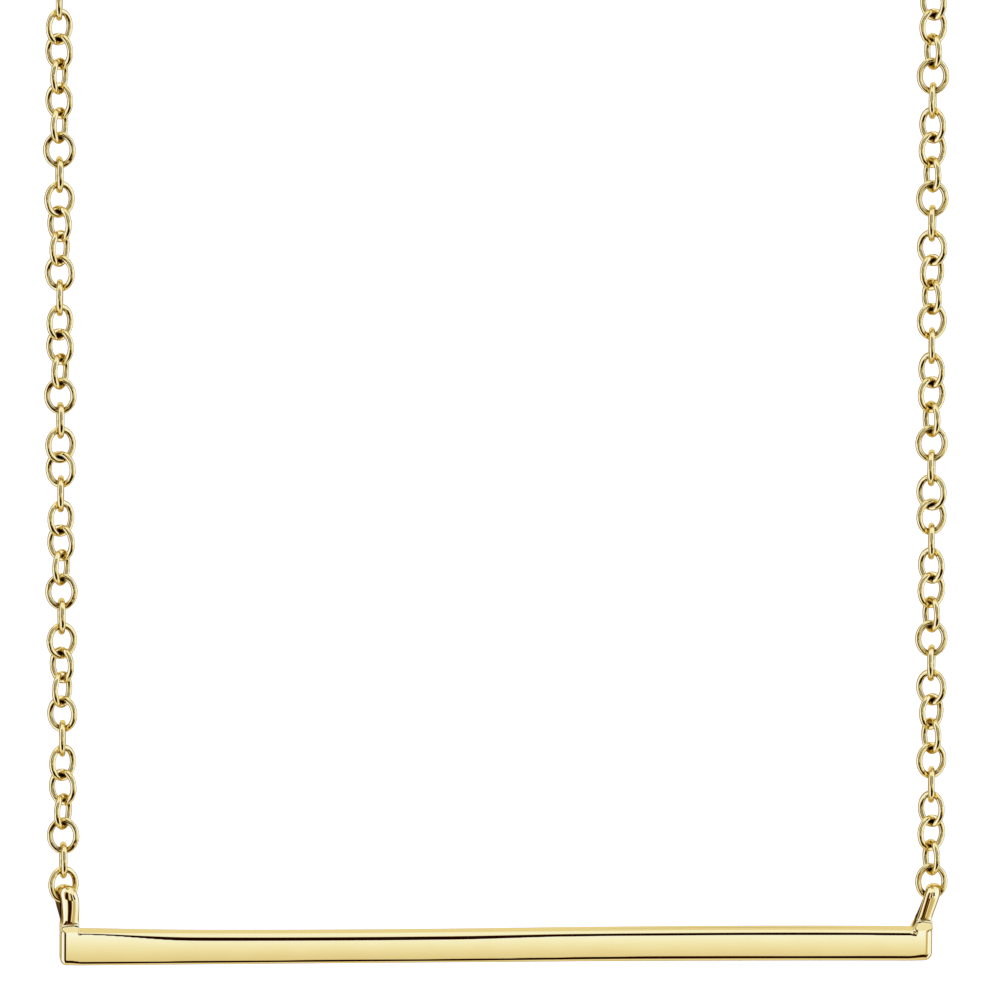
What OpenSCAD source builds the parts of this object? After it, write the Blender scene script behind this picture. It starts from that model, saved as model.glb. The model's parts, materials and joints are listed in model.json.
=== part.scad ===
// Bar pendant on a cable chain: a slim bar with an ear at each end, hung between the two ends of a
// necklace that closes over the top as round a peg. Millimetres, +Z up, front towards -Y.
// The origin is the hang point, on the inside of the loop under the middle of the clasp.

/* [Necklace] */
// Length of the closed necklace, with its bar and clasp
necklace_l = 457; // [400:1:610]
// Turn of the whole chain about its strands, in degrees
chain_turn = -11; // [-30:1:30]

/* [Bar] */
// Length of the bar from end to end
bar_l = 33; // [26:0.5:42]
// Depth of the bar from front to back, and of the ears
bar_d = 1.16; // [1:0.01:1.4]
// Height of the bar at its left end
bar_h_left = 1.2; // [0.9:0.01:1.6]
// Height of the bar at its middle
bar_h_mid = 1.14; // [0.85:0.01:1.6]
// Height of the bar at its right end
bar_h_right = 1.17; // [0.9:0.01:1.6]
// Radius of the long edges
edge_r = 0.17; // [0.05:0.01:0.3]
// Radius of the upright edges at the left end
end_r_left = 0.2; // [0.05:0.01:0.3]
// Radius of the upright edges at the right end
end_r_right = 0.3; // [0.05:0.01:0.4]
// Radius of the lower left corner, seen from the front
corner_r_left = 0.25; // [0.1:0.01:0.4]
// Radius of the lower right corner, seen from the front
corner_r_right = 0.35; // [0.1:0.01:0.4]

/* [Ears] */
// Height of the hole's axis above the middle line of the bar
eye_h = 1.8; // [1.6:0.05:3]
// Clearance round the link's wire in the hole
eye_gap = 0.2; // [0.2:0.01:0.24]
// Clearance between the ear's strap and each side of its link
strap_gap = 0.14; // [0.12:0.01:0.2]
// Height of the solid foot between the bar and the leaning legs
foot_h = 0.33; // [0.1:0.01:0.5]
// Height of the slot's floor above the bar
slot_floor = 0.15; // [0:0.01:0.3]
// Height and length of the fillet at the inner side of the foot
foot_flare = 0.12; // [0.02:0.01:0.3]
// Outward lean of the left ear's legs, in degrees
lean_left = 8; // [0:1:24]
// Outward lean of the right ear's legs, in degrees
lean_right = 22; // [0:1:24]
// Outward lean of both ears above the hole's axis, in degrees
crown_lean = 7; // [0:1:12]

/* [Chain] */
// Thickness of the links' wire
wire_d = 0.2; // [0.16:0.01:0.24]
// Width of a link over its wire
link_w = 1.24; // [1.2:0.01:1.5]
// Length of a link over its wire
link_l = 1.435; // [1.4:0.005:1.8]
// Slack between two links where they hook into each other
link_gap = 0.102; // [0.1:0.002:0.14]
// Number of real links on each side of the bar
links_shown = 37; // [4:1:60]
// How far the end link's wire hangs below the middle of the hole
link_drop = 0.05; // [0:0.01:0.08]

/* [Clasp] */
// Diameter of the spring ring over its tube
clasp_d = 5.2; // [4.6:0.1:8]
// Diameter of the ring's tube
clasp_tube_d = 1; // [0.8:0.05:1.2]
// Diameter of the spring wire that closes the ring
clasp_spring_d = 0.64; // [0.4:0.02:0.7]
// Stretch of the ring that is closed by the spring wire alone, in degrees
clasp_mouth = 52; // [30:1:60]
// Place of that stretch's middle, in degrees from the chain's right end
clasp_mouth_at = 118; // [100:1:130]
// Place of the trigger, in degrees from the chain's right end
trigger_at = 131; // [125:1:145]
// Length of the trigger that stands out of the ring
trigger_l = 0.75; // [0.4:0.05:1.2]
// Diameter of the trigger
trigger_d = 0.5; // [0.4:0.05:0.7]
// Wire of the eyelet and the jump rings
jump_wire_d = 0.4; // [0.3:0.02:0.5]
// Clearance between rings where they hook into each other
ring_gap = 0.1; // [0.1:0.01:0.15]

/* [Hidden] */
$fn = 48;
wire_fn = 24;
// Straight pieces in a quarter circle, and in each drawn-in edge of the bar
corner_steps = 6;
waist_steps = 12;
gold = [0.93, 0.8, 0.5];
pale_gold = [0.95, 0.84, 0.57];

// Turn of each link about its strand, from the bar up and then again from the start, in degrees.
// Neighbours lie at least 60 degrees apart, so that each can hook into the next.
link_turns = [-25, 84, 5, -65, 34, -38, 80, 18, -59, 44];
// The right strand is the left one mirrored, and starts this many links later
right_start = 2;

// Sides, rings and steps of the plain tube that stands for the rest of a strand
tube_sides = 8;
straight_steps = 33;
arc_steps = 6;

// The ears: the hole is cut by the link's wire and the strap's width by the link's inside
eye_r = wire_d / 2 + eye_gap;
strap_w = link_w - 2 * wire_d - 2 * strap_gap;
crown_r = strap_w / 2;
foot_u = bar_l / 2 - crown_r;
// Each ear is cut out of two extrusions that reach past it on every side
ear_reach = 2 * (eye_h + bar_d);
function foot_top(bar_h) = bar_h / 2 + foot_h;
function eye_out(lean, bar_h) = (eye_h - foot_top(bar_h)) * tan(lean);
function crown_out() = (bar_d / 2 - crown_r) * tan(crown_lean);
eye_left = foot_u + eye_out(lean_left, bar_h_left);
eye_right = foot_u + eye_out(lean_right, bar_h_right);

// The bar sits a little off the loop's middle, because its ears lean out by different amounts
strand_x = (eye_left + eye_right) / 2;
bar_x = (eye_left - eye_right) / 2;

// The clasp and its rings lie on one straight line across the top of the loop
clasp_r = (clasp_d - clasp_tube_d) / 2;
jump_r = clasp_tube_d / 2 + ring_gap + jump_wire_d / 2;
eyelet_r = jump_wire_d / 2 + ring_gap + jump_wire_d / 2;
eyelet_x = -(clasp_d / 2 + eyelet_r);
ring_left_x = eyelet_x - eyelet_r + jump_wire_d + ring_gap - jump_r;
ring_right_x = clasp_r;
ring_out = jump_r + jump_wire_d / 2 + ring_gap;
clasp_half = (ring_right_x - ring_left_x) / 2 + ring_out;
clasp_x = -(ring_right_x + ring_left_x) / 2;

// The loop: two upright strands and an arc that ends at the clasp's line
loop_r = strand_x;
arc_end = acos(clasp_half / loop_r);
clasp_z = jump_r + jump_wire_d / 2;
arc_z = clasp_z - loop_r * sin(arc_end);
arc_l = loop_r * arc_end * PI / 180;
strand_l = (necklace_l - 2 * strand_x - 2 * clasp_half) / 2 - arc_l;
eye_z = arc_z - strand_l;

// The links: each hangs one pitch above the one before it, and the first one's wire is in the ear
link_r = (link_w - wire_d) / 2;
link_straight = link_l - link_w;
pitch = link_l - 2 * wire_d - link_gap;
first_link_z = eye_z - link_drop + (link_l - wire_d) / 2;
rear_z = first_link_z + (links_shown - 1) * pitch + link_l / 2 + link_gap;

// Height of the bar, where u runs from -1 at its left end to 1 at its right
function bar_h(u) = bar_h_left * u * (u - 1) / 2 + bar_h_mid * (1 - u * u)
    + bar_h_right * u * (u + 1) / 2;
bar_h_max = max(bar_h_left, bar_h_mid, bar_h_right);

// Arc of points about a centre, from one angle to another
function arc(x, y, r, from, to) = [for (a = [from:90 / corner_steps:to]) [x + r * cos(a), y + r * sin(a)]];

// The bar from the front: square above, where the ears stand, with round corners below
module bar_front() {
    top = [for (i = [waist_steps:-1:0]) let (u = 2 * i / waist_steps - 1) [u * bar_l / 2, bar_h(u) / 2]];
    below = [for (i = [1:waist_steps - 1]) let (u = 2 * i / waist_steps - 1) [u * bar_l / 2, -bar_h(u) / 2]];
    polygon(concat(
        top,
        arc(corner_r_left - bar_l / 2, corner_r_left - bar_h_left / 2, corner_r_left, 180, 270),
        below,
        arc(bar_l / 2 - corner_r_right, corner_r_right - bar_h_right / 2, corner_r_right, 270, 360)));
}

// The bar from above, with each end's upright edges rounded
module bar_plan() {
    polygon(concat(
        arc(bar_l / 2 - end_r_right, bar_d / 2 - end_r_right, end_r_right, 0, 90),
        arc(end_r_left - bar_l / 2, bar_d / 2 - end_r_left, end_r_left, 90, 180),
        arc(end_r_left - bar_l / 2, end_r_left - bar_d / 2, end_r_left, 180, 270),
        arc(bar_l / 2 - end_r_right, end_r_right - bar_d / 2, end_r_right, 270, 360)));
}

// The bar from its end, with round long edges
module bar_section() {
    square([bar_d - 2 * edge_r, bar_h_max], center = true);
    square([bar_d, bar_h_max - 2 * edge_r], center = true);
    for (y = [-1, 1], z = [-1, 1])
        translate([y * (bar_d / 2 - edge_r), z * (bar_h_max / 2 - edge_r)]) circle(r = edge_r);
}

module plain_bar() {
    intersection() {
        rotate([90, 0, 90]) linear_extrude(height = bar_l, center = true) bar_section();
        rotate([90, 0, 0]) linear_extrude(height = 2 * bar_d, center = true) bar_front();
        linear_extrude(height = 2 * bar_h_max, center = true) bar_plan();
    }
}

// An ear from the front: u runs outwards from the middle of its foot
module ear_front(lean, h) {
    foot = foot_top(h);
    out = eye_out(lean, h);
    lean_w = crown_r / cos(lean);
    crown_z = eye_h + bar_d / 2 - crown_r;
    top_out = out + crown_out();
    polygon(concat(
        [[-crown_r - foot_flare, 0], [crown_r, 0], [crown_r, foot], [out + lean_w, eye_h]],
        arc(top_out, crown_z, crown_r, 0, 180),
        [[out - lean_w, eye_h], [-crown_r, foot], [-crown_r, h / 2 + foot_flare],
            [-crown_r - foot_flare, h / 2]]));
}

// An ear from its side: two legs and a round arch about the hole, with a slot between the legs
module ear_side(h) {
    difference() {
        union() {
            translate([-bar_d / 2, 0]) square([bar_d, eye_h]);
            translate([0, eye_h]) circle(d = bar_d);
        }
        translate([0, eye_h]) circle(r = eye_r);
        translate([-eye_r, h / 2 + slot_floor]) square([2 * eye_r, eye_h - h / 2 - slot_floor]);
    }
}

module ear(lean, h) {
    intersection() {
        rotate([90, 0, 90]) linear_extrude(height = ear_reach, center = true) ear_side(h);
        rotate([90, 0, 0]) linear_extrude(height = ear_reach, center = true) ear_front(lean, h);
    }
}

module bar() {
    color(pale_gold) translate([bar_x, 0, eye_z - eye_h]) union() {
        plain_bar();
        translate([foot_u, 0, 0]) ear(lean_right, bar_h_right);
        translate([-foot_u, 0, 0]) mirror([1, 0, 0]) ear(lean_left, bar_h_left);
    }
}

// An oval link that stands upright across the front
module link() {
    for (x = [-link_r, link_r])
        translate([x, 0, -link_straight / 2]) cylinder(d = wire_d, h = link_straight, $fn = wire_fn);
    for (end = [0, 1])
        mirror([0, 0, end]) translate([0, 0, link_straight / 2]) rotate([90, 0, 0])
            rotate_extrude(angle = 180) translate([link_r, 0]) circle(d = wire_d, $fn = wire_fn);
}

// The links of one strand that hang from the ear up; side is -1 on the left and 1 on the right
module strand(side, start) {
    for (i = [0:links_shown - 1])
        translate([side * strand_x, 0, first_link_z + i * pitch])
            rotate([0, 0, chain_turn + side * link_turns[(i + start) % len(link_turns)]]) link();
}

module chain_left() {
    color(gold) strand(-1, 0);
}

module chain_right() {
    color(gold) strand(1, right_start);
}

// Route of the rest of a strand, as [out, up, lean]: straight up, then round the arc to the clasp
route = concat(
    [for (i = [0:straight_steps - 1]) [loop_r, rear_z + (arc_z - rear_z) * i / straight_steps, 0]],
    [for (i = [0:arc_steps]) let (a = arc_end * i / arc_steps)
        [loop_r * cos(a), arc_z + loop_r * sin(a), a]]);

// Ring of points round one place of the route
function tube_ring(at, r) = [for (k = [0:tube_sides - 1]) let (a = 360 * k / tube_sides)
    [at[0] + r * cos(a) * cos(at[2]), r * sin(a), at[1] + r * cos(a) * sin(at[2])]];

module rear_strand() {
    rings = len(route);
    sides = [for (i = [0:rings - 2], k = [0:tube_sides - 1]) let (next = (k + 1) % tube_sides)
        [i * tube_sides + k, (i + 1) * tube_sides + k, (i + 1) * tube_sides + next, i * tube_sides + next]];
    first = [for (k = [0:tube_sides - 1]) k];
    last = [for (k = [tube_sides - 1:-1:0]) (rings - 1) * tube_sides + k];
    polyhedron([for (at = route) each tube_ring(at, link_w / 2)], concat([first], sides, [last]));
}

module chain_left_rear() {
    color(gold) mirror([1, 0, 0]) rear_strand();
}

module chain_right_rear() {
    color(gold) rear_strand();
}

// A round ring of wire that lies flat
module wire_ring(r, d) {
    rotate_extrude() translate([r, 0]) circle(d = d, $fn = wire_fn);
}

module jump_ring(x) {
    color(gold) translate([clasp_x + x, 0, clasp_z]) rotate([90, 0, 0]) wire_ring(jump_r, jump_wire_d);
}

module jump_ring_left() {
    jump_ring(ring_left_x);
}

module jump_ring_right() {
    jump_ring(ring_right_x);
}

// A spring ring that lies flat: tube, spring wire across its mouth, trigger and eyelet
module clasp() {
    color(pale_gold) translate([clasp_x, 0, clasp_z]) union() {
        rotate([0, 0, clasp_mouth_at + clasp_mouth / 2])
            rotate_extrude(angle = 360 - clasp_mouth) translate([clasp_r, 0])
                circle(d = clasp_tube_d, $fn = wire_fn);
        wire_ring(clasp_r, clasp_spring_d);
        rotate([0, 0, trigger_at]) translate([clasp_r, 0, 0]) rotate([0, 90, 0])
            cylinder(d = trigger_d, h = trigger_l);
        translate([eyelet_x, 0, 0]) wire_ring(eyelet_r, jump_wire_d);
    }
}

bar();
chain_left();
chain_right();
chain_left_rear();
chain_right_rear();
jump_ring_left();
jump_ring_right();
clasp();
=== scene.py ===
# Bar pendant on its necklace chain: the finished look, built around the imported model.
# Lengths are in millimetres until a mesh is made, unless a comment says metres. In the shape of
# the bar z counts from the ears' axis, and in the clasp's from the clasp's own middle.
import json
import math

import bpy
import numpy as np
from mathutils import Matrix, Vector


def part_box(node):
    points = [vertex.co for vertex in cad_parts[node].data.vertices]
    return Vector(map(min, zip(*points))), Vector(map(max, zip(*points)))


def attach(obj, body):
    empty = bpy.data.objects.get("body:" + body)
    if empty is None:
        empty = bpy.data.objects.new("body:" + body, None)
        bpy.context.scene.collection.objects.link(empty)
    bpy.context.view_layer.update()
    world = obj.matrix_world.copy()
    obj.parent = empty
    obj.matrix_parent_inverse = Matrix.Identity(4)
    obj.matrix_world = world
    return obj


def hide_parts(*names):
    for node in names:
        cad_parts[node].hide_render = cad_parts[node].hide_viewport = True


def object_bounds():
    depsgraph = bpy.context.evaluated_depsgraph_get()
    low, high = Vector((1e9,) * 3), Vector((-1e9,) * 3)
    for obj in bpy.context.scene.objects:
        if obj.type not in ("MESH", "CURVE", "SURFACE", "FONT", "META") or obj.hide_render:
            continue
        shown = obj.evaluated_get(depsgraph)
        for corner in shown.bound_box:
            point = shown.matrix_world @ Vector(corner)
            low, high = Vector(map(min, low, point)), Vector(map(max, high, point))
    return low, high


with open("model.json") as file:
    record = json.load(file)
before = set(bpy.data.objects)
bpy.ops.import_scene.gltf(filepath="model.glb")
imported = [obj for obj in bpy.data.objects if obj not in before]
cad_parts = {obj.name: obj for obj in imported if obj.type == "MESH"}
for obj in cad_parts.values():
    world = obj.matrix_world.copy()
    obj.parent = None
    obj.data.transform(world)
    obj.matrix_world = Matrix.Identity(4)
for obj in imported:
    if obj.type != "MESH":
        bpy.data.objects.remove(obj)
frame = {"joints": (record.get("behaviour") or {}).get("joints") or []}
CAD_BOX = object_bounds()
MM = 0.001

# Camera: a long lens, a little to the left of the front and a little above. Its distance, the
# width that it sees and its clip range are in metres. It aims at a point over the ears' axis.
VIEW_TURN = -4.5
VIEW_RISE = 9
VIEW_ROLL = 0.6
VIEW_DISTANCE = 0.72
VIEW_WIDTH = 0.0377
VIEW_CENTRE_X = -0.09
VIEW_CENTRE_UP = 15.23
SENSOR_WIDTH = 36
CLIP_RANGE = (0.01, 50)

# Bar: its ends, how high its ears' axis stands over its middle line, and how far its front and
# back bulge. Its height and the rise of its middle line are polynomials, lowest power first,
# where -1 is the left end and 1 the right.
BAR_LEFT = -16.618
BAR_RIGHT = 16.49
BAR_DEPTH = 1.16
EYE_H = 1.8
PILLOW = 0.012
BAR_HEIGHT = (1.17, 0.07, 0.078, -0.129)
BAR_RISE = (-0.015, 0.082, -0.012, -0.083)

# Radius of the bar's long edges, and where along the bar it changes from one to the next: the
# top edge is sharper at its left end.
TOP_EDGE_R = (0.07, 0.27, 0.19)
TOP_EDGE_SPANS = ((-15.6, -11.6), (-2, 3))
BOTTOM_EDGE_R = (0.16, 0.22)
BOTTOM_EDGE_SPAN = (-2, 6)

# Ears, left and right. Places along the bar count outwards from the strand that hangs there, and
# heights from the ears' axis.
EARS = {
    "end": (0.138, 0.03),           # where the bar ends
    "end_r": (0.25, 0.32),          # radius of the bar's lower corner
    "eye_out": (-0.12, 0.035),      # middle of the strap at the hole
    "foot_out": (-0.235, -0.285),   # middle of the strap at its foot
    "twist": (0.125, 0.06),         # how far in the front leg stands, and out the back leg
    "lean_twist": (4.0, 1.5),       # how much less the front leg leans out, in degrees
    "half_w": (0.345, 0.305),       # half the strap's width at the hole
    "foot_w": (0.33, 0.29),         # half the strap's width at its foot
    "foot_z": (-0.87, -0.83),       # height of the foot
    "slot_z": (-0.62, -0.85),       # centre of the hole's lower end
    "flare": (0.10, 0.22),          # how much wider the strap grows inwards below its foot
    "crown_h": (0.0, 0.07),         # how much lower the strap's top is than a half circle
}

# Hole through each ear, the radius of its edge, and how far into the metal the painted shade in it
# reaches
HOLE_R = 0.30
HOLE_EDGE_R = 0.05
HOLE_SHADE = 0.07

# Radii of edges: along a strap, on its flank over the bar's top, and at the bar's upper corner.
# At the bar's end it is a share of the lower corner's radius.
STRAP_EDGE_R = 0.12
FLANK_EDGE_R = 0.05
CORNER_R = 0.05
END_EDGE_SHARE = 0.9

# Fillet where a strap stands on the bar, on its outer and on its inner side
FOOT_FILLET = (0.002, 0.06)

# Strap: how far its face falls back at its sides, and at what share of its half width the fall
# ends. Over the hole it leans out by some degrees, after a short bend.
STRAP_CROWN = 0.15
STRAP_CROWN_END = 1.3
CROWN_LEAN = 7
BEND_R = 0.15

# Seam at the foot of each leg: its depth and width, how far below the foot it runs, and its slope
SEAM_DEPTH = 0.028
SEAM_W = 0.030
SEAM_DROP = 0.02
SEAM_SLANT = 0.08

# Where one shape gives way to another, from nothing at the first value to all at the second
TWIST_SPAN = (-1.2, 0)        # height: the twist of the strap
FACE_SPAN = (-0.12, 0.15)     # height over the foot: from the bar's face to the strap's
FLARE_SPAN = (0, -0.6)        # height over the foot: the flare
OUTER_SPAN = (0.1, -0.3)      # height over the foot: from the strap's outer side to the bar's end
FILLET_SPAN = (0, -0.2)       # outwards from the strap's middle: from the outer fillet to the inner
END_SPAN = (-0.9, -0.3)       # outwards from the bar's end: to the edge radius of the end
FLANK_SPAN = (-0.05, 0.1)     # height over the bar's top: to the edge radius of the flank
SEAM_SPAN = (0.35, 0.5)       # depth from the bar's middle: the seam

# Grid of the bar: fine at the ears, middling as far as the top edge grows rounder, and coarse
# after that, and how much room it leaves round the bar
FINE_STEP = 0.024
MIDDLING_STEP = 0.1
COARSE_STEP = 0.35
EAR_REACH = 1.5
COARSE_FROM = -11
ROOM_LEFT = 0.25
ROOM_RIGHT = 0.5
ROOM_DEPTH = 0.08
ROOM_BELOW = 0.75
ROOM_ABOVE = 0.05

# Clasp: its mouth, the spring in it, the trigger and the eyelet. Mouth and trigger stand at
# degrees round the ring, counted from the right.
MOUTH_AT = 118
MOUTH = 52
MOUTH_EDGE_R = 0.12
SPRING_D = 0.64
SPRING_FILLET = 0.05
TRIGGER_AT = 131
TRIGGER_L = 0.75
TRIGGER_D = 0.5
TRIGGER_FILLET = 0.08
STEM_R = 0.18
STEM_EDGE_R = 0.05
EYELET_X = -3.1
EYELET_R = 0.5
EYELET_WIRE = 0.4
EYELET_FILLET = 0.12
CLASP_STEP = 0.06
CLASP_ROOM = 0.1

# Links: size over the wire, wire, the distance from one to the next and from the ears' axis to the
# first, and how many a strand has inside the photo's frame and above it
LINK_W = 1.245
LINK_L = 1.42
WIRE_D = 0.245
PITCH = 0.933
FIRST_LINK = 0.568
SHOWN_LINKS = 37
REAR_LINKS = 186

# How far inside a jump ring's hole the end of the last link stands, and how far outside the ring
# the arc passes at the ring's height
LAST_LINK_INSET = 0.15
ARC_CLEARANCE = 0.1

# Steps round the oval and sides of the wire
SHOWN_LINK_STEPS = (44, 16)
REAR_LINK_STEPS = (24, 10)
RING_STEPS = (64, 16)

# The strands sway to the left above the bar: how far at most, and how high up that is
SWAY = -0.45
SWAY_AT = 50

# Where shade is painted dark on a link's wire, where its neighbours touch it: how far round its end,
# how far round towards its inside, and how dark the painted shade on the inside still is along its
# sides
SHADE_END = (0.72, 0.92)
SHADE_SIDE = (0.0, 0.7)
SHADE_ALONG = 0.15

# Turn of each link as the photo shows it: one run of turns that comes back again and again.
# A strand is strung from stretches of this run, and the right one mirrors the left.
RUN = (-25, 84, 5, -65, 34, -40, 90, 24, -59, 45)
LEFT_STRETCHES = ((0, 10), (0, 8), (0, 10), (0, 5), (3, 7))
RIGHT_STRETCHES = ((2, 10), (0, 8), (0, 10), (0, 6), (1, 6))

# Golds: the colour and its deeper tone, and the length and height of faint waves in metres
GOLDS = {
    "polished_gold": {"colour": (0.94, 0.74, 0.307), "deep": (0.92, 0.72, 0.29),
                      "wave": 0.0015, "height": 0.000004},
    "chain_gold": {"colour": (0.94, 0.735, 0.27), "deep": (0.91, 0.69, 0.23),
                   "wave": 0.00035, "height": 0.00003},
    "clasp_gold": {"colour": (0.94, 0.74, 0.307), "deep": (0.92, 0.71, 0.28),
                   "wave": 0.0012, "height": 0.00001},
}
# What all golds share: the tint of grazing reflections, the colour of shade painted into hollows
# where parts meet, the scales of the noise behind tone and wear, and how the wear spreads the
# roughness
EDGE_TINT = (1.0, 0.9, 0.55)
PAINTED_SHADE_COLOUR = (0.12, 0.05, 0.008)
TONE_SCALE = 700
GRAIN_SCALE = 9000
GRAIN_SPAN = (0.3, 0.7)
ROUGHNESS = (0.02, 0.05)

# Sockets of a Mix node that mixes colours
MIX_SHARE = 0
MIX_FIRST = 6
MIX_SECOND = 7
MIX_RESULT = 2

# Studio light, as patches of the surroundings painted one over another. Turn counts from the
# front to the right and rise from the horizon up, in degrees. Each patch has soft edges, and a
# level at its bottom and one at its top.
PATCHES = (
    {"turn": (150, 210), "rise": (2, 60), "soft": (9, 4), "level": (1.12, 1.12)},
    {"turn": (-200, 200), "rise": (53, 130), "soft": (9, 5), "level": (2.2, 2.6)},
    {"turn": (-200, 200), "rise": (-130, -67), "soft": (9, 3), "level": (1.1, 1.1)},
    {"turn": (-130, -104), "rise": (-50, 50), "soft": (4, 8), "level": (0.3, 0.3)},
    {"turn": (114, 132), "rise": (-50, 50), "soft": (4, 8), "level": (0.3, 0.3)},
    {"turn": (-98, -66), "rise": (-62, 60), "soft": (4, 8), "level": (3.8, 3.8)},
    {"turn": (-66, -40), "rise": (-64, -2), "soft": (4, 4), "level": (2.8, 2.8)},
    {"turn": (-52, -26), "rise": (-4, 50), "soft": (5, 4), "level": (0.03, 0.03)},
    {"turn": (-26, -4), "rise": (-1, 50), "soft": (3, 4), "level": (1.2, 1.2)},
    {"turn": (-38, -5), "rise": (-66, -2), "soft": (5, 4), "level": (0.03, 0.03)},
    {"turn": (12, 112), "rise": (-14, 48), "soft": (3, 8), "level": (3.3, 3.3)},
    {"turn": (22, 48), "rise": (4, 46), "soft": (6, 6), "level": (0.05, 0.05)},
    {"turn": (12, 60), "rise": (-62, -26), "soft": (5, 6), "level": (0.03, 0.03)},
    {"turn": (60, 112), "rise": (-62, -10), "soft": (3, 8), "level": (2.0, 2.8)},
    {"turn": (12, 42), "rise": (-26, 2), "soft": (2, 4), "level": (0.8, 0.8)},
    {"turn": (-6, 14), "rise": (-66, 51), "soft": (2, 3), "level": (0.02, 0.02)},
    {"turn": (-2, 12), "rise": (-15.6, -4), "soft": (2, 1.2), "level": (0.93, 4.1), "curve": 2},
)
BASE_LEVEL = (0.7, 1.1)
# Gold looks whiter the brighter a patch is, as in a picture that goes softly to white, and
# browner the dimmer it is: how fast each channel brightens, and its power where it is dim.
WHITENING = (1.5, 0.9, 0.06)
DIM_POWER = (1.0, 1.5, 3.3)
STRENGTH = 0.8

# Floor: its radius and its distance below the bar in metres, and its look
FLOOR_R = 3.0
FLOOR_GAP = 0.05
FLOOR_SIDES = 64
FLOOR_GREY = 0.9
FLOOR_GLOW = 0.35


def corners(node):
    """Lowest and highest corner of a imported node, in millimetres."""
    low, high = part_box(node)
    return np.array(low) / MM, np.array(high) / MM


EYE_Z = frame["joints"][0]["pos_m"][2] / MM
CHAIN_LOW, CHAIN_HIGH = corners("chain_right")
STRAND_X = float(CHAIN_LOW[0] + CHAIN_HIGH[0]) / 2
RING_LOW, RING_HIGH = corners("jump_ring_right")
CLASP_LOW, CLASP_HIGH = corners("clasp")


def smooth_step(start, end, value):
    """0 up to the start, 1 past the end, and smooth between them. The end may be the lower one."""
    t = np.clip((value - start) / (end - start), 0, 1)
    return t * t * (3 - 2 * t)


def mix(first, second, share):
    """The first value where share is 0 and the second where it is 1."""
    return first + (second - first) * share


def polynomial(factors, u):
    """Value of a polynomial, its factors given from the lowest power up."""
    return sum(factor * u ** power for power, factor in enumerate(factors))


def join(a, b, r):
    """Union of two fields, with a fillet of about radius r."""
    h = np.clip(0.5 + 0.5 * (b - a) / r, 0, 1)
    return b + (a - b) * h - r * h * (1 - h)


def common(a, b, r):
    """Intersection of two fields, whose shared edge has the radius r."""
    outside = np.hypot(np.maximum(a + r, 0), np.maximum(b + r, 0))
    return np.minimum(np.maximum(a, b), -r) + outside


def strap_middle(ear, y, z):
    """Middle of an ear's strap, which leans, bends over the hole and is twisted."""
    twist = y / (BAR_DEPTH / 2)
    lean = (ear["foot_out"] - ear["eye_out"]) / ear["foot_z"]
    lean = lean + np.tan(np.radians(ear["lean_twist"] * twist))
    crown = math.tan(math.radians(CROWN_LEAN))
    over = (z + np.hypot(z, BEND_R)) / 2
    rise = np.maximum(z - ear["foot_z"], 0) * lean + (crown - lean) * over
    return ear["foot_out"] + ear["twist"] * twist * smooth_step(*TWIST_SPAN, z) + rise


def front_outline(ear, out, up, centre, half_w, level, half_h):
    """Distance to the outline of the bar and its ears, as seen from the front."""
    inner = centre - half_w - ear["flare"] * smooth_step(*FLARE_SPAN, up)
    outer = mix(centre + half_w, ear["end"], smooth_step(*OUTER_SPAN, up))
    strap = np.maximum(inner - out, out - outer)
    beam = common(-level - half_h, out - ear["end"], ear["end_r"])
    beam = common(beam, level - half_h, CORNER_R)
    fillet = mix(*FOOT_FILLET, smooth_step(*FILLET_SPAN, out - centre))
    return join(beam, np.maximum(strap, -level), fillet)


def seam(y, up, along):
    """A fine groove where each leg of an ear was soldered to the bar."""
    across = (up + SEAM_DROP + SEAM_SLANT * along) / SEAM_W
    return SEAM_DEPTH * np.exp(-across ** 2) * smooth_step(*SEAM_SPAN, np.abs(y))


def faces(ear, y, z, along, half_w, height_share, near_ear):
    """Distance to the front and back of the bar and its ears, and over the ears' tops."""
    dome = BAR_DEPTH / 2 / (BAR_DEPTH / 2 - ear["crown_h"])
    round_top = np.hypot(y, np.maximum(z, 0) * dome)
    puff = PILLOW * height_share ** 2 * (1 - near_ear)
    across = np.clip(along / half_w, -STRAP_CROWN_END, STRAP_CROWN_END)
    face = round_top - BAR_DEPTH / 2 + puff + STRAP_CROWN * across ** 2 * near_ear
    return face + seam(y, z - ear["foot_z"], along)


def edge_radius(ear, x, out, level, half_h, near_ear):
    """Radius of the edges between the outline and the faces."""
    top = mix(*TOP_EDGE_R[:2], smooth_step(*TOP_EDGE_SPANS[0], x))
    top = top + (TOP_EDGE_R[2] - TOP_EDGE_R[1]) * smooth_step(*TOP_EDGE_SPANS[1], x)
    bottom = mix(*BOTTOM_EDGE_R, smooth_step(*BOTTOM_EDGE_SPAN, x))
    radius = np.where(level > 0, top, bottom)
    radius = mix(radius, ear["end_r"] * END_EDGE_SHARE, smooth_step(*END_SPAN, out - ear["end"]))
    radius = mix(radius, FLANK_EDGE_R, smooth_step(*FLANK_SPAN, level - half_h))
    return mix(radius, STRAP_EDGE_R, near_ear)


def hole(y, z, low):
    """Distance to the slot through an ear, which reaches from its axis down to low."""
    return np.hypot(y, z - np.clip(z, low, 0)) - HOLE_R


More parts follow.
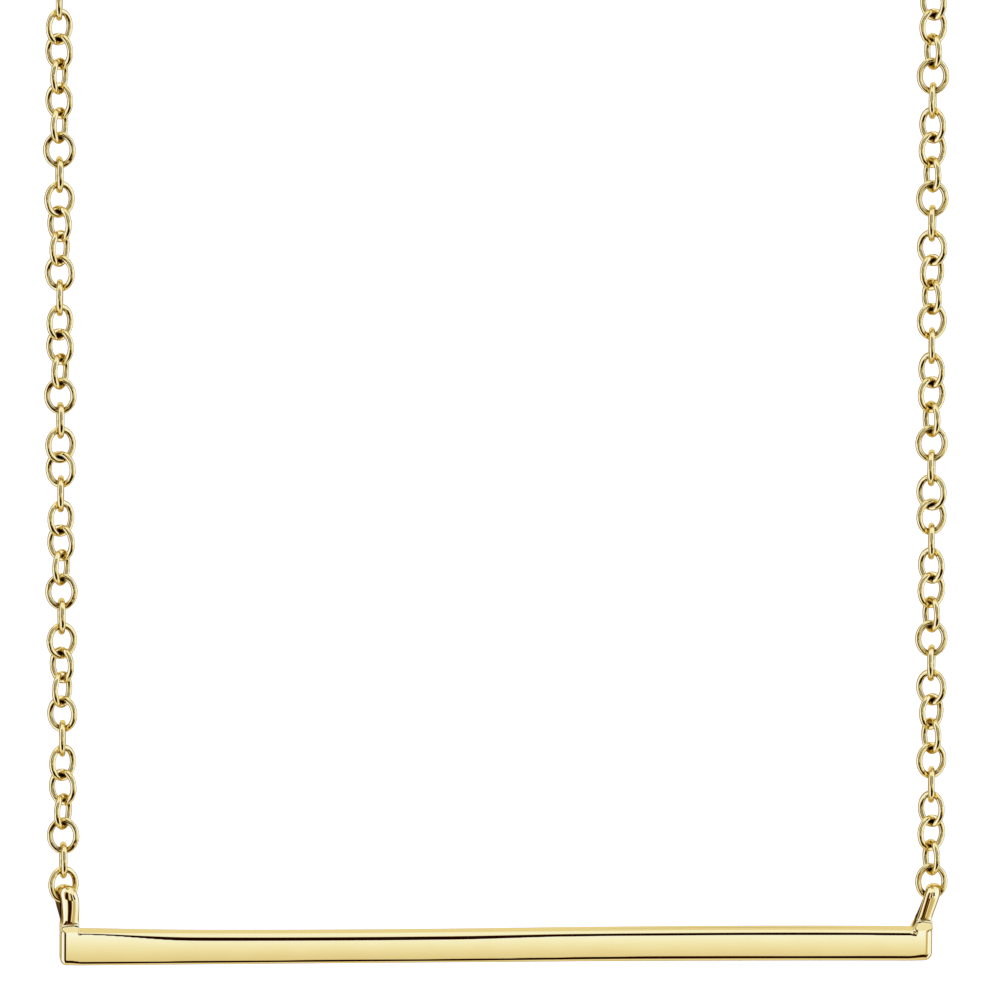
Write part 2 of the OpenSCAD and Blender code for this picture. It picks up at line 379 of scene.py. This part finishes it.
def bar_field(x, y, z):
    """Distance to the bar with its ears, negative inside."""
    right = x > 0
    ear = {name: np.where(right, pair[1], pair[0]) for name, pair in EARS.items()}
    out = np.where(right, x, -x) - STRAND_X
    middle = (BAR_RIGHT + BAR_LEFT) / 2
    u = np.clip((x - middle) / (BAR_RIGHT - middle), -1, 1)
    half_h = polynomial(BAR_HEIGHT, u) / 2
    level = z + EYE_H - polynomial(BAR_RISE, u)
    up = z - ear["foot_z"]
    near_ear = smooth_step(*FACE_SPAN, up)
    centre = strap_middle(ear, y, z)
    half_w = mix(ear["half_w"], ear["foot_w"], smooth_step(0, 1, z / ear["foot_z"]))
    outline = front_outline(ear, out, up, centre, half_w, level, half_h)
    height_share = np.clip(level / half_h, -1, 1)
    face = faces(ear, y, z, out - centre, half_w, height_share, near_ear)
    solid = common(outline, face, edge_radius(ear, x, out, level, half_h, near_ear))
    return common(solid, -hole(y, z, ear["slot_z"]), HOLE_EDGE_R)


def bar_painted_shade(x, y, z):
    """Painted shade inside the ears' holes, where their walls lie in shade."""
    left_low, right_low = EARS["slot_z"]
    return smooth_step(HOLE_SHADE, 0.0, hole(y, z, np.where(x > 0, right_low, left_low)))


def clasp_field(x, y, z):
    """Distance to the spring ring with its eyelet and trigger; z counts from its own middle."""
    tube_r = (CLASP_HIGH[2] - CLASP_LOW[2]) / 2
    ring_r = CLASP_HIGH[1] - tube_r
    x = x - (CLASP_HIGH[0] - ring_r - tube_r)
    angle = np.degrees(np.arctan2(y, x))
    off = np.hypot(np.hypot(x, y) - ring_r, z)
    mouth = np.abs((angle - MOUTH_AT + 180) % 360 - 180) - MOUTH / 2
    tube = common(off - tube_r, -np.radians(mouth) * ring_r, MOUTH_EDGE_R)
    body = join(tube, off - SPRING_D / 2, SPRING_FILLET)
    reach = np.array([math.cos(math.radians(TRIGGER_AT)), math.sin(math.radians(TRIGGER_AT))])
    along = x * reach[0] + y * reach[1] - ring_r
    side = np.hypot(x * reach[1] - y * reach[0], z)
    stem = common(side - STEM_R, np.abs(along - TRIGGER_L / 2) - TRIGGER_L / 2, STEM_EDGE_R)
    knob = np.hypot(side, along - TRIGGER_L) - TRIGGER_D / 2
    trigger = join(stem, knob, TRIGGER_FILLET)
    eyelet = np.hypot(np.hypot(x - EYELET_X, y) - EYELET_R, z) - EYELET_WIRE / 2
    return join(join(body, trigger, TRIGGER_FILLET), eyelet, EYELET_FILLET)


def slopes(field, points, step=1e-3):
    """Gradient of a field at each point."""
    result = np.empty_like(points)
    for axis in range(3):
        ahead, behind = points.copy(), points.copy()
        ahead[:, axis] += step
        behind[:, axis] -= step
        result[:, axis] = (field(*ahead.T) - field(*behind.T)) / (2 * step)
    return result


def settled(field, points, rounds=4, reach=0.05, flattest=1e-6):
    """Points moved onto the surface where a field is zero, by Newton's method."""
    for _ in range(rounds):
        slope = slopes(field, points)
        steep = np.maximum((slope ** 2).sum(1), flattest)
        points = points - np.clip(field(*points.T) / steep, -reach, reach)[:, None] * slope
    return points


def crossings(value, grids, axis):
    """Grid edges along an axis where the value changes its sign.

    Returns the four cells round each edge, the place where the value is zero, and whether it is
    negative at the edge's start."""
    first = [slice(None)] * 3
    second = [slice(None)] * 3
    first[axis], second[axis] = slice(0, -1), slice(1, None)
    a, b = value[tuple(first)], value[tuple(second)]
    at = np.argwhere((a < 0) != (b < 0))
    v0, v1 = a[tuple(at.T)], b[tuple(at.T)]
    share = v0 / (v0 - v1)
    place = np.stack([grids[k][at[:, k]] for k in range(3)], 1)
    place[:, axis] += share * (grids[axis][at[:, axis] + 1] - grids[axis][at[:, axis]])
    others = [k for k in range(3) if k != axis]
    around = []
    for i, j in ((0, 0), (1, 0), (1, 1), (0, 1)):
        cell = at.copy()
        cell[:, others[0]] -= i
        cell[:, others[1]] -= j
        around.append(cell)
    return around, place, v0 < 0


def skin(field, grids):
    """Vertices, quads and normals of the surface where a field is zero.

    Each grid cell that the surface crosses holds one vertex, and each grid edge that it
    crosses gives one quad. The vertices are then moved onto the surface itself."""
    value = field(*np.meshgrid(*grids, indexing="ij", sparse=True))
    value = np.broadcast_to(value, [len(g) for g in grids])
    cells = np.array(value.shape) - 1
    total = np.zeros((*cells, 3))
    count = np.zeros(cells)
    found = [crossings(value, grids, axis) for axis in range(3)]
    for around, place, _ in found:
        for cell in around:
            np.add.at(total, tuple(cell.T), place)
            np.add.at(count, tuple(cell.T), 1)
    used = count > 0
    number = np.full(used.shape, -1)
    number[used] = np.arange(used.sum())
    quads = []
    for axis, (around, _, leaves) in enumerate(found):
        quad = np.stack([number[tuple(cell.T)] for cell in around], 1)
        flip = leaves if axis == 1 else ~leaves
        quad[flip] = quad[flip][:, ::-1]
        quads.append(quad)
    points = settled(field, total[used] / count[used][:, None])
    slope = slopes(field, points)
    return points, np.concatenate(quads), slope / np.linalg.norm(slope, axis=1)[:, None]


def mesh_piece(name, points, quads, normals, painted_shade):
    """A smooth mesh object from millimetre points, with these vertex normals.

    The last value, 0 to 1, says where shade is painted dark into the gold, in its hollows."""
    mesh = bpy.data.meshes.new(name)
    mesh.from_pydata((points * MM).tolist(), [], quads.tolist())
    mesh.validate()
    mesh.polygons.foreach_set("use_smooth", [True] * len(mesh.polygons))
    mesh.normals_split_custom_set_from_vertices(normals.tolist())
    # Per-vertex share of painted shade, read by the gold's material
    mesh.attributes.new("painted_shade", "FLOAT", "POINT").data.foreach_set("value", painted_shade)
    piece = bpy.data.objects.new(name, mesh)
    bpy.context.scene.collection.objects.link(piece)
    return piece


def wire_loop(line, outward, radius, sides):
    """Vertices, quads, normals and painted shade of a round wire along a closed line in the XZ plane.

    Shade is painted darkest inside its two ends, where its neighbours hang."""
    steps = len(line)
    turn = np.arange(sides) * 2 * math.pi / sides
    normals = (outward[:, None, :] * np.cos(turn)[None, :, None]
               + np.array([0.0, 1.0, 0.0]) * np.sin(turn)[None, :, None])
    points = line[:, None, :] + radius * normals
    i, k = np.meshgrid(np.arange(steps), np.arange(sides), indexing="ij")
    here, ahead = i * sides, (i + 1) % steps * sides
    quads = np.stack([here + k, here + (k + 1) % sides, ahead + (k + 1) % sides, ahead + k], -1)
    # Painted shade: dark inside the link's ends and faintly along its inner side, where neighbouring
    # links touch and shade it
    end = smooth_step(*SHADE_END, np.abs(outward[:, 2]))[:, None]
    inside = smooth_step(*SHADE_SIDE, -np.cos(turn))[None, :]
    painted_shade = inside * np.maximum(end, SHADE_ALONG)
    return points.reshape(-1, 3), quads.reshape(-1, 4), normals.reshape(-1, 3), painted_shade.ravel()


def oval(width, length, wire, steps, sides):
    """A closed oval of wire that stands in the XZ plane."""
    a = np.arange(steps) * 2 * math.pi / steps
    half = (width - wire) / 2, (length - wire) / 2
    line = np.stack([np.cos(a) * half[0], np.zeros(steps), np.sin(a) * half[1]], 1)
    outward = np.stack([np.cos(a) * half[1], np.zeros(steps), np.sin(a) * half[0]], 1)
    outward /= np.linalg.norm(outward, axis=1)[:, None]
    return wire_loop(line, outward, wire / 2, sides)


def turned(points, angle, axis):
    """Points turned about an axis through the origin, in degrees."""
    c, s = math.cos(math.radians(angle)), math.sin(math.radians(angle))
    i, j = {"y": (2, 0), "z": (0, 1)}[axis]
    result = points.copy()
    result[:, i] = points[:, i] * c - points[:, j] * s
    result[:, j] = points[:, i] * s + points[:, j] * c
    return result


def strung(stretches, sign):
    """Turns of the shown links of one strand, from the bar up."""
    return [sign * RUN[k] for first, last in stretches for k in range(first, last)]


def chain_route():
    """Lengths of the straight strand and of the whole way to the last link, and the arc's middle."""
    ring_mid = (RING_LOW + RING_HIGH) / 2
    ring_inner = (RING_HIGH[0] - RING_LOW[0]) / 2 - (RING_HIGH[1] - RING_LOW[1])
    end_x = ring_mid[0] + ring_inner - LAST_LINK_INSET
    top_x = RING_HIGH[0] + ARC_CLEARANCE
    arc_z = ring_mid[2] - math.sqrt(STRAND_X ** 2 - top_x ** 2)
    straight = arc_z - EYE_Z
    angle = math.acos(end_x / STRAND_X) - (LINK_L - WIRE_D) / 2 / STRAND_X
    return straight, straight + STRAND_X * angle, arc_z


def link_place(s, side):
    """Where a link stands whose middle is s up the strand from the ear, and how far it leans."""
    straight, _, arc_z = chain_route()
    if s <= straight:
        share = s / SWAY_AT if s < SWAY_AT else (straight - s) / (straight - SWAY_AT)
        sway = SWAY * math.sin(share * math.pi / 2)
        return np.array([side * STRAND_X + sway, 0, EYE_Z + s]), 0
    a = (s - straight) / STRAND_X
    return (np.array([side * STRAND_X * math.cos(a), 0, arc_z + STRAND_X * math.sin(a)]),
            -side * math.degrees(a))


def links(name, side, places, turns, steps, sides):
    """One mesh of the links of a strand."""
    points, quads, normals, painted_shade = oval(LINK_W, LINK_L, WIRE_D, steps, sides)
    all_points, all_quads, all_normals = [], [], []
    for n, (s, turn) in enumerate(zip(places, turns)):
        at, lean = link_place(s, side)
        spin = [turned(turned(v, VIEW_TURN - turn, "z"), lean, "y") for v in (points, normals)]
        all_points.append(spin[0] + at)
        all_normals.append(spin[1])
        all_quads.append(quads + n * len(points))
    painted_shade = np.tile(painted_shade, len(all_points))
    return mesh_piece(name, *(np.concatenate(v) for v in (all_points, all_quads, all_normals)), painted_shade)


def finish_piece(piece, body, slot, material, *nodes):
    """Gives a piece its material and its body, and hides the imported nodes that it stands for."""
    piece.data.materials.append(material)
    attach(piece, body)
    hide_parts(*nodes)


def make_strand(side, stretches, gold):
    """The shown links of one side and the rest of its strand up to the jump ring."""
    word = "left" if side < 0 else "right"
    turns = strung(stretches, -side)
    places = FIRST_LINK + PITCH * np.arange(SHOWN_LINKS)
    shown = links("links_" + word, side, places, turns, *SHOWN_LINK_STEPS)
    rest = [-side * RUN[(stretches[-1][1] + k) % len(RUN)] for k in range(REAR_LINKS)]
    last = chain_route()[1]
    rear_places = np.linspace(places[-1], last, REAR_LINKS + 1)[1:]
    rear = links("links_" + word + "_rear", side, rear_places, rest, *REAR_LINK_STEPS)
    for piece, node in ((shown, "chain_" + word), (rear, "chain_" + word + "_rear")):
        finish_piece(piece, "necklace", "chain_gold", gold, node)


def spread(low, high, step):
    """Evenly spaced grid values from low to high."""
    return np.linspace(low, high, max(2, round((high - low) / step) + 1))


def make_bar(gold):
    """The bar with its two ears, in one mesh."""
    low, high = BAR_LEFT - ROOM_LEFT, BAR_RIGHT + ROOM_RIGHT
    along = np.concatenate([spread(low, BAR_LEFT + EAR_REACH, FINE_STEP),
                            spread(BAR_LEFT + EAR_REACH, COARSE_FROM, MIDDLING_STEP)[1:-1],
                            spread(COARSE_FROM, BAR_RIGHT - EAR_REACH, COARSE_STEP)[:-1],
                            spread(BAR_RIGHT - EAR_REACH, high, FINE_STEP)])
    depth = BAR_DEPTH / 2 + ROOM_DEPTH
    grids = (along, spread(-depth, depth, FINE_STEP),
             spread(-EYE_H - ROOM_BELOW, depth + ROOM_ABOVE, FINE_STEP))
    points, quads, normals = skin(bar_field, grids)
    # Shade is painted into the ears' holes through this value
    painted_shade = bar_painted_shade(*points.T)
    points[:, 2] += EYE_Z
    piece = mesh_piece("bar_with_ears", points, quads, normals, painted_shade)
    finish_piece(piece, "pendant", "polished_gold", gold, "bar")


def make_clasp(gold):
    """The spring ring with its eyelet and trigger."""
    middle = (CLASP_LOW[2] + CLASP_HIGH[2]) / 2
    half = (CLASP_HIGH[2] - CLASP_LOW[2]) / 2 + CLASP_ROOM
    grids = [spread(CLASP_LOW[k] - CLASP_ROOM, CLASP_HIGH[k] + CLASP_ROOM, CLASP_STEP) for k in (0, 1)]
    points, quads, normals = skin(clasp_field, (*grids, spread(-half, half, CLASP_STEP)))
    points[:, 2] += middle
    piece = mesh_piece("spring_ring", points, quads, normals, np.zeros(len(points)))
    finish_piece(piece, "necklace", "clasp_gold", gold, "clasp")


def make_jump_rings(gold):
    """The two rings between the chain's ends and the clasp."""
    for word in ("left", "right"):
        low, high = corners("jump_ring_" + word)
        size, wire = high[0] - low[0], high[1] - low[1]
        points, quads, normals, _ = oval(size, size, wire, *RING_STEPS)
        points = points + (low + high) / 2
        piece = mesh_piece("ring_" + word, points, quads, normals, np.zeros(len(points)))
        finish_piece(piece, "necklace", "chain_gold", gold, "jump_ring_" + word)


def node_in(tree, kind, inputs=(), **settings):
    """Adds a node, sets its fields and joins or fills its inputs."""
    node = tree.nodes.new(kind)
    for field, value in settings.items():
        setattr(node, field, value)
    for key, value in dict(inputs).items():
        if isinstance(value, bpy.types.NodeSocket):
            tree.links.new(value, node.inputs[key])
        else:
            node.inputs[key].default_value = value
    return node


def mixed(tree, share, first, second):
    """Mix of two colours, each a socket or red, green, blue and alpha."""
    inputs = {MIX_SHARE: share, MIX_FIRST: first, MIX_SECOND: second}
    return node_in(tree, "ShaderNodeMix", inputs, data_type="RGBA").outputs[MIX_RESULT]


def maths(tree, operation, *values):
    """Result of a Math node."""
    return node_in(tree, "ShaderNodeMath", dict(enumerate(values)), operation=operation).outputs[0]


def ramp(tree, value, source, target, shape="LINEAR", clamp=True):
    """A value carried over from one range to another."""
    inputs = {"Value": value, "From Min": source[0], "From Max": source[1],
              "To Min": target[0], "To Max": target[1]}
    node = node_in(tree, "ShaderNodeMapRange", inputs, interpolation_type=shape, clamp=clamp)
    return node.outputs[0]


def noise(tree, place, scale, detail):
    """Level of a noise texture."""
    inputs = {"Vector": place, "Scale": scale, "Detail": detail}
    return node_in(tree, "ShaderNodeTexNoise", inputs).outputs["Fac"]


def gold_material(name, colour, deep, wave, height):
    """Polished gold: fine wipe marks, faint waves, a slightly deeper tone in places and painted shade
    in hollows.
    """
    material = bpy.data.materials.new(name)
    material.use_nodes = True
    tree = material.node_tree
    shader = tree.nodes["Principled BSDF"]
    shader.inputs["Metallic"].default_value = 1
    shader.inputs["Specular Tint"].default_value = (*EDGE_TINT, 1)
    place = node_in(tree, "ShaderNodeTexCoord").outputs["Object"]
    tone = mixed(tree, noise(tree, place, TONE_SCALE, 2), (*deep, 1), (*colour, 1))
    # Painted shade: dark brown mixed into the gold's colour by the mesh's shade attribute, in the
    # hollows where parts meet
    painted_shade_share = node_in(tree, "ShaderNodeAttribute", attribute_name="painted_shade").outputs["Fac"]
    tree.links.new(mixed(tree, painted_shade_share, tone, (*PAINTED_SHADE_COLOUR, 1)), shader.inputs["Base Color"])
    rough = ramp(tree, noise(tree, place, GRAIN_SCALE, 4), GRAIN_SPAN, ROUGHNESS)
    tree.links.new(rough, shader.inputs["Roughness"])
    waves = {"Height": noise(tree, place, 1 / wave, 1), "Strength": 1.0, "Distance": height}
    bump = node_in(tree, "ShaderNodeBump", waves).outputs["Normal"]
    tree.links.new(bump, shader.inputs["Normal"])
    return material


def band(tree, value, span, soft):
    """1 inside a span of degrees and 0 outside, with soft edges."""
    off = maths(tree, "SUBTRACT", value, (span[0] + span[1]) / 2)
    off = maths(tree, "ABSOLUTE", maths(tree, "WRAP", off, 180, -180))
    half = (span[1] - span[0]) / 2
    return ramp(tree, off, (half - soft, half + soft), (1, 0), "SMOOTHSTEP")


def painted(tree, level, turn, rise, patch):
    """The level with one more patch painted over it."""
    across = band(tree, turn, patch["turn"], patch["soft"][0])
    mask = maths(tree, "MULTIPLY", across, band(tree, rise, patch["rise"], patch["soft"][1]))
    share = ramp(tree, rise, patch["rise"], (0, 1))
    share = maths(tree, "POWER", share, patch.get("curve", 1))
    own = ramp(tree, share, (0, 1), patch["level"])
    change = maths(tree, "MULTIPLY", maths(tree, "SUBTRACT", own, level), mask)
    return maths(tree, "ADD", level, change)


def light_colour(tree, level):
    """Colour of a level: white at its brightest and brown where it is dim."""
    dim, lively = maths(tree, "MINIMUM", level, 1), maths(tree, "MAXIMUM", level, 1)
    channels = []
    for rate, power in zip(WHITENING, DIM_POWER):
        fade = maths(tree, "EXPONENT", maths(tree, "MULTIPLY", lively, -rate))
        bright = ramp(tree, fade, (1, math.exp(-rate)), (0, STRENGTH), clamp=False)
        channels.append(maths(tree, "MULTIPLY", bright, maths(tree, "POWER", dim, power)))
    return node_in(tree, "ShaderNodeCombineColor", dict(enumerate(channels))).outputs[0]


def make_studio():
    """Soft white surroundings with the darker patches that polished metal needs."""
    world = bpy.data.worlds.new("studio")
    bpy.context.scene.world = world
    world.use_nodes = True
    tree = world.node_tree
    way = node_in(tree, "ShaderNodeTexCoord").outputs["Generated"]
    part = node_in(tree, "ShaderNodeSeparateXYZ", {0: way}).outputs
    degrees = 180 / math.pi
    back = maths(tree, "MULTIPLY", part["Y"], -1)
    turn = maths(tree, "MULTIPLY", maths(tree, "ARCTAN2", part["X"], back), degrees)
    rise = maths(tree, "MULTIPLY", maths(tree, "ARCSINE", part["Z"]), degrees)
    level = ramp(tree, rise, (-90, 90), BASE_LEVEL)
    for patch in PATCHES:
        level = painted(tree, level, turn, rise, patch)
    seen = node_in(tree, "ShaderNodeLightPath").outputs["Is Camera Ray"]
    colour = mixed(tree, seen, light_colour(tree, level), (1, 1, 1, 1))
    tree.links.new(colour, tree.nodes["Background"].inputs["Color"])


def make_floor():
    """A plain pale floor below the hanging bar."""
    lowest = CAD_BOX[0][2] - FLOOR_GAP
    mesh = bpy.data.meshes.new("floor")
    ring = [(FLOOR_R * math.cos(a), FLOOR_R * math.sin(a), lowest)
            for a in np.linspace(0, 2 * math.pi, FLOOR_SIDES, endpoint=False)]
    mesh.from_pydata(ring, [], [list(range(len(ring)))])
    plate = bpy.data.objects.new("floor", mesh)
    bpy.context.scene.collection.objects.link(plate)
    plate.visible_glossy = False
    pale = bpy.data.materials.new("pale_floor")
    pale.use_nodes = True
    shader = pale.node_tree.nodes["Principled BSDF"]
    shader.inputs["Base Color"].default_value = (FLOOR_GREY, FLOOR_GREY, FLOOR_GREY, 1)
    shader.inputs["Roughness"].default_value = 1
    shader.inputs["Specular IOR Level"].default_value = 0
    shader.inputs["Emission Color"].default_value = (1, 1, 1, 1)
    shader.inputs["Emission Strength"].default_value = FLOOR_GLOW
    mesh.materials.append(pale)


def make_camera():
    """The photo's view."""
    turn, rise, roll = (math.radians(v) for v in (VIEW_TURN, VIEW_RISE, VIEW_ROLL))
    back = Vector((math.sin(turn) * math.cos(rise), -math.cos(turn) * math.cos(rise), math.sin(rise)))
    aim = Vector((VIEW_CENTRE_X * MM, 0, (EYE_Z + VIEW_CENTRE_UP) * MM))
    lens = bpy.data.cameras.new("camera")
    eye = bpy.data.objects.new("camera", lens)
    bpy.context.scene.collection.objects.link(eye)
    eye.location = aim + back * VIEW_DISTANCE
    eye.rotation_euler = back.to_track_quat("Z", "Y").to_matrix().to_euler()
    eye.rotation_euler.rotate_axis("Z", roll)
    lens.sensor_width = SENSOR_WIDTH
    lens.lens = SENSOR_WIDTH * VIEW_DISTANCE / VIEW_WIDTH
    lens.clip_start, lens.clip_end = CLIP_RANGE
    bpy.context.scene.camera = eye


golds = {name: gold_material(name, **look) for name, look in GOLDS.items()}
make_bar(golds["polished_gold"])
make_strand(-1, LEFT_STRETCHES, golds["chain_gold"])
make_strand(1, RIGHT_STRETCHES, golds["chain_gold"])
make_jump_rings(golds["chain_gold"])
make_clasp(golds["clasp_gold"])
make_studio()
make_floor()
make_camera()
bpy.context.scene.view_settings.view_transform = "Standard"
